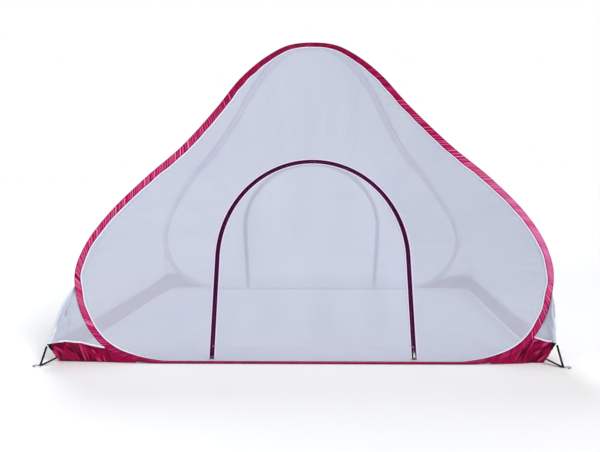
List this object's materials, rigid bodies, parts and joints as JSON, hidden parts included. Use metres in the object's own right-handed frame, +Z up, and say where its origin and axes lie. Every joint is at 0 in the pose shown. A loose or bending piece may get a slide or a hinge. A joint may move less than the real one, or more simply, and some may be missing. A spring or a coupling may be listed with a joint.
{
  "type": "mosquito net tent",
  "caption": "Bottomless pop-up net tent over a bed: spring hoops in folded satin sleeves lean together, with netting between, arched coil-zip doors and satin-edged ends hooked at the corners.",
  "frame": {"origin": "on the ground, under the middle of the apex where the hoops meet", "axes": "+X across the doors to the right as seen from the front, +Y from the front door to the rear door, +Z up"},
  "size_m": [2.255, 1.9214, 1.4609],
  "materials": {
    "satin": "crimson polyester satin with a soft sheen",
    "net": "fine white knitted mesh, see-through",
    "piping": "white woven tape",
    "zip_tape": "plum woven tape with a nylon coil",
    "spring_steel": "plain spring steel wire",
    "black_enamel": "black enamel",
    "nickel": "bright nickel",
    "elastic": "black flat braided elastic"
  },
  "bodies": {
    "front_hoop": {"front_hoop_wire": "spring_steel", "front_hoop_ferrule": "spring_steel", "front_hoop_sleeve": "satin", "front_hoop_piping": "piping", "front_net_panel": "net", "front_zip_outer_tape": "zip_tape", "front_zip_outer_binding": "piping", "front_zip_end_box_slider_side": "black_enamel", "front_zip_end_box_far_side": "black_enamel", "front_left_corner_elastic": "elastic", "front_left_corner_hook": "black_enamel", "front_right_corner_elastic": "elastic", "front_right_corner_hook": "black_enamel", "right_end_net": "net", "right_end_band": "satin", "right_band_piping": "piping", "left_end_net": "net", "left_end_band": "satin", "left_band_piping": "piping", "apex_seam": "satin"},
    "rear_hoop": {"rear_hoop_wire": "spring_steel", "rear_hoop_ferrule": "spring_steel", "rear_hoop_sleeve": "satin", "rear_hoop_piping": "piping", "rear_net_panel": "net", "rear_zip_outer_tape": "zip_tape", "rear_zip_outer_binding": "piping", "rear_zip_end_box_slider_side": "black_enamel", "rear_zip_end_box_far_side": "black_enamel", "rear_left_corner_elastic": "elastic", "rear_left_corner_hook": "black_enamel", "rear_right_corner_elastic": "elastic", "rear_right_corner_hook": "black_enamel"},
    "front_door": {"front_door_net": "net", "front_zip_inner_tape": "zip_tape", "front_zip_inner_binding": "piping"},
    "front_slider": {"front_zip_slider": "black_enamel"},
    "front_outside_pull": {"front_pull_outside": "nickel"},
    "front_inside_pull": {"front_pull_inside": "nickel"},
    "rear_door": {"rear_door_net": "net", "rear_zip_inner_tape": "zip_tape", "rear_zip_inner_binding": "piping"},
    "rear_slider": {"rear_zip_slider": "black_enamel"},
    "rear_outside_pull": {"rear_pull_outside": "nickel"},
    "rear_inside_pull": {"rear_pull_inside": "nickel"}
  },
  "joints": [
    {"name": "hoop_fold", "type": "hinge", "parent": "front_hoop", "child": "rear_hoop", "pos_m": [0, 0, 1.457], "axis": [-1, 0, 0], "range_deg": [0, 60], "deforming": ["right_end_net", "right_end_band", "right_band_piping", "left_end_net", "left_end_band", "left_band_piping"]},
    {"name": "front_door_swing", "type": "hinge", "parent": "front_hoop", "child": "front_door", "pos_m": [0, -0.83306, 0.05384], "axis": [1, 0, 0], "range_deg": [0, 110]},
    {"name": "front_zip_slide", "type": "slide", "parent": "front_hoop", "child": "front_slider", "axis": [0, 0.4478, 0.8942], "range_m": [0, 0.4]},
    {"name": "front_outside_pull_swing", "type": "hinge", "parent": "front_slider", "child": "front_outside_pull", "pos_m": [0.42, -0.84962, 0.03361], "axis": [-1, 0, 0], "range_deg": [0, 170]},
    {"name": "front_inside_pull_swing", "type": "hinge", "parent": "front_slider", "child": "front_inside_pull", "pos_m": [0.42, -0.84211, 0.02985], "axis": [1, 0, 0], "range_deg": [-20, 120]},
    {"name": "rear_door_swing", "type": "hinge", "parent": "rear_hoop", "child": "rear_door", "pos_m": [0, 0.83306, 0.05384], "axis": [-1, 0, 0], "range_deg": [0, 110]},
    {"name": "rear_zip_slide", "type": "slide", "parent": "rear_hoop", "child": "rear_slider", "axis": [0, -0.4478, 0.8942], "range_m": [0, 0.4]},
    {"name": "rear_outside_pull_swing", "type": "hinge", "parent": "rear_slider", "child": "rear_outside_pull", "pos_m": [-0.42, 0.84962, 0.03361], "axis": [1, 0, 0], "range_deg": [0, 170]},
    {"name": "rear_inside_pull_swing", "type": "hinge", "parent": "rear_slider", "child": "rear_inside_pull", "pos_m": [-0.42, 0.84211, 0.02985], "axis": [-1, 0, 0], "range_deg": [-20, 120]}
  ]
}
